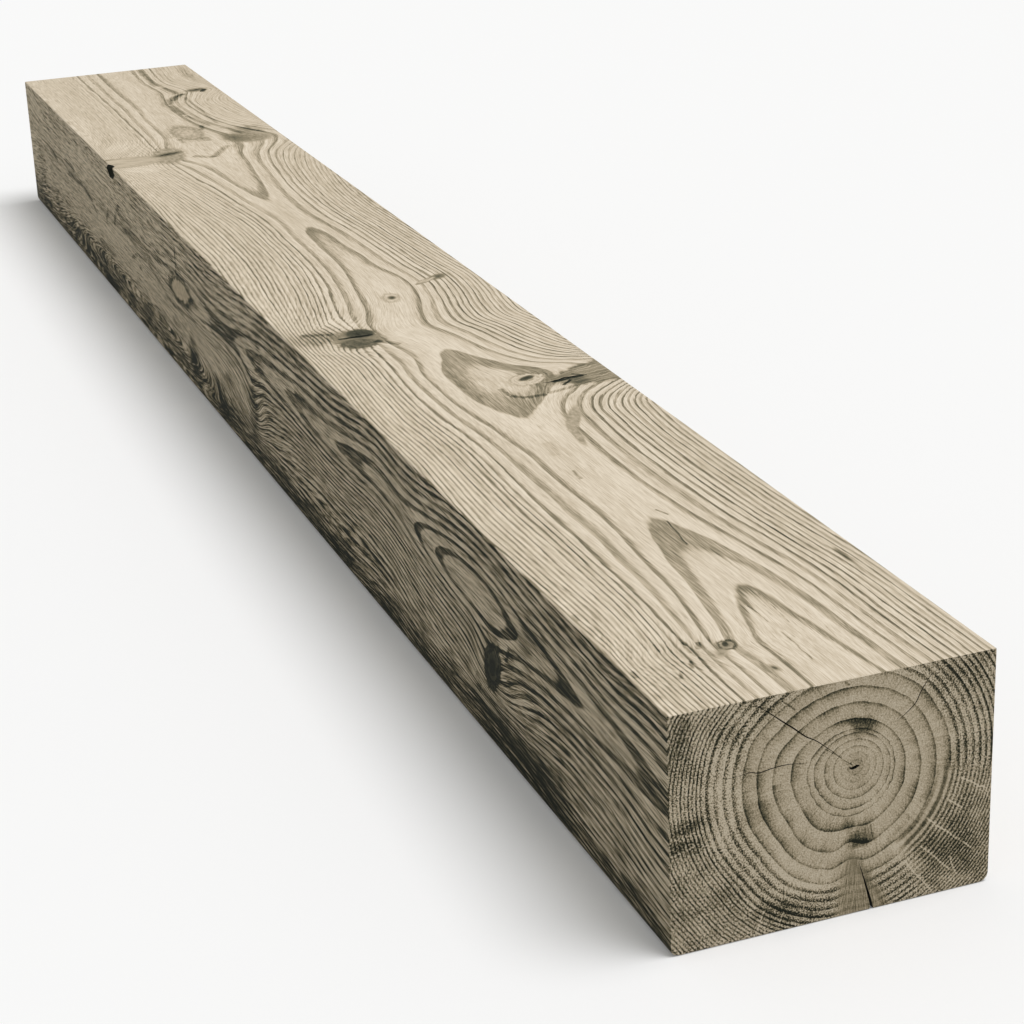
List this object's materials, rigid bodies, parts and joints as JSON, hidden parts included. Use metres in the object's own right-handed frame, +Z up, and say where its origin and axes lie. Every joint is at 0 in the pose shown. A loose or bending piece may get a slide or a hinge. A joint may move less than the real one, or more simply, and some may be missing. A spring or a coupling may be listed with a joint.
{
  "type": "pressure-treated timber beam",
  "caption": "Straight rectangular softwood timber, pressure treated, with the heart inside, sawn ends, knots and drying checks; used as a beam, post, sleeper or edging.",
  "frame": {"origin": "middle of the lower face, which lies on the floor", "axes": "+X along the timber towards the end that shows the pith and the drying checks, +Y across the width to the right as seen from that end's camera side, +Z up through the height"},
  "size_m": [1.8, 0.19, 0.14],
  "materials": {
    "treated_wood": "sawn and dressed pale olive-tan softwood with darker growth rings and knots, dry and matt"
  },
  "bodies": {
    "root": {"timber": "treated_wood"}
  },
  "joints": []
}
